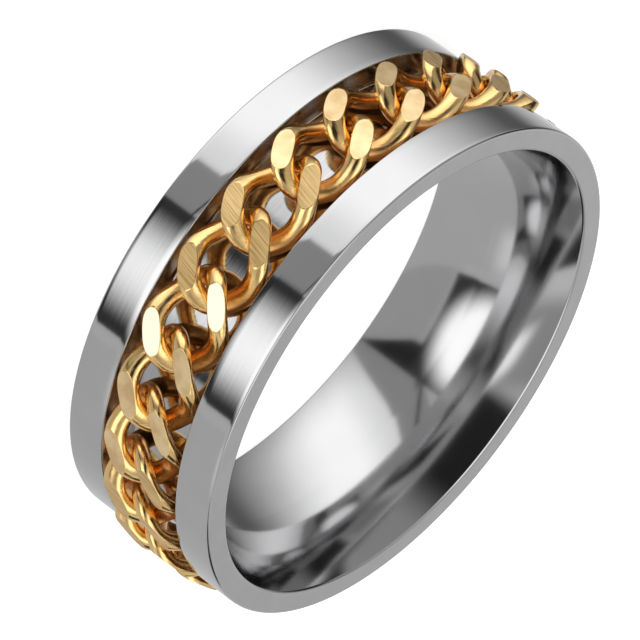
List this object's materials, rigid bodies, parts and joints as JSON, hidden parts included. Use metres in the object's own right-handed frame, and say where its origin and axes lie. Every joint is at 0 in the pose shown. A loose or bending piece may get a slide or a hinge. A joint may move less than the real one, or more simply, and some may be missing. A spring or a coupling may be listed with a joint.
{
  "type": "spinner ring",
  "caption": "Flat polished finger ring with a groove round its outside, in which a closed curb chain turns freely, and a domed finger hole.",
  "frame": {"origin": "on the ring's axis, in the plane of the lower side face that the ring rests on", "axes": "+Z along the finger hole's axis, up from the lower side face to the upper one; X and Y across the ring, with the pictured side towards -Y"},
  "size_m": [0.0249, 0.025, 0.008],
  "materials": {
    "band_steel": "mirror-polished stainless steel, satin on the two side faces",
    "chain_gold": "polished gold-coloured plating, with finely ground flats"
  },
  "bodies": {
    "band_body": {"band": "band_steel"},
    "chain_loop": {"link_01": "chain_gold", "link_02": "chain_gold", "link_03": "chain_gold", "link_04": "chain_gold", "link_05": "chain_gold", "link_06": "chain_gold", "link_07": "chain_gold", "link_08": "chain_gold", "link_09": "chain_gold", "link_10": "chain_gold", "link_11": "chain_gold", "link_12": "chain_gold", "link_13": "chain_gold", "link_14": "chain_gold", "link_15": "chain_gold", "link_16": "chain_gold", "link_17": "chain_gold", "link_18": "chain_gold", "link_19": "chain_gold", "link_20": "chain_gold", "link_21": "chain_gold", "link_22": "chain_gold", "link_23": "chain_gold", "link_24": "chain_gold", "link_25": "chain_gold"}
  },
  "joints": [
    {"name": "chain_spin", "type": "hinge", "parent": "band_body", "child": "chain_loop", "pos_m": [0, 0, 0.004], "axis": [0, 0, 1], "continuous": true}
  ]
}
